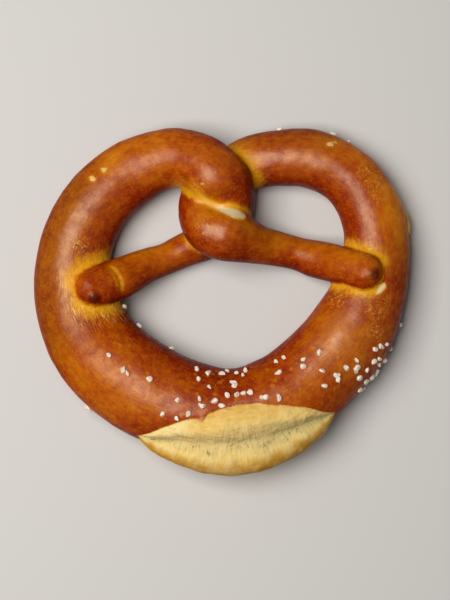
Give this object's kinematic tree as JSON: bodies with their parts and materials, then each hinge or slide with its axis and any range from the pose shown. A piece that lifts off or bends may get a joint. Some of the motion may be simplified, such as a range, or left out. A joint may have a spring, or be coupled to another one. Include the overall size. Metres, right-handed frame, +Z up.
{
  "type": "soft pretzel",
  "caption": "Baked lye pretzel: one rope of dough with a thick burst belly, two rings, a twisted knot and two thin arms pressed onto the rings, with coarse salt.",
  "frame": {"origin": "middle of the outline, on the surface that the pretzel lies on", "axes": "+X across the pretzel from the left ring to the right ring, +Y from the thick belly towards the knot, +Z up out of the browned crust"},
  "size_m": [0.16, 0.1476, 0.0349],
  "materials": {
    "crust": "glossy red-brown baked lye crust, golden in the creases",
    "salt": "opaque creamy white coarse salt"
  },
  "bodies": {
    "root": {"pretzel": "crust"}
  },
  "joints": []
}
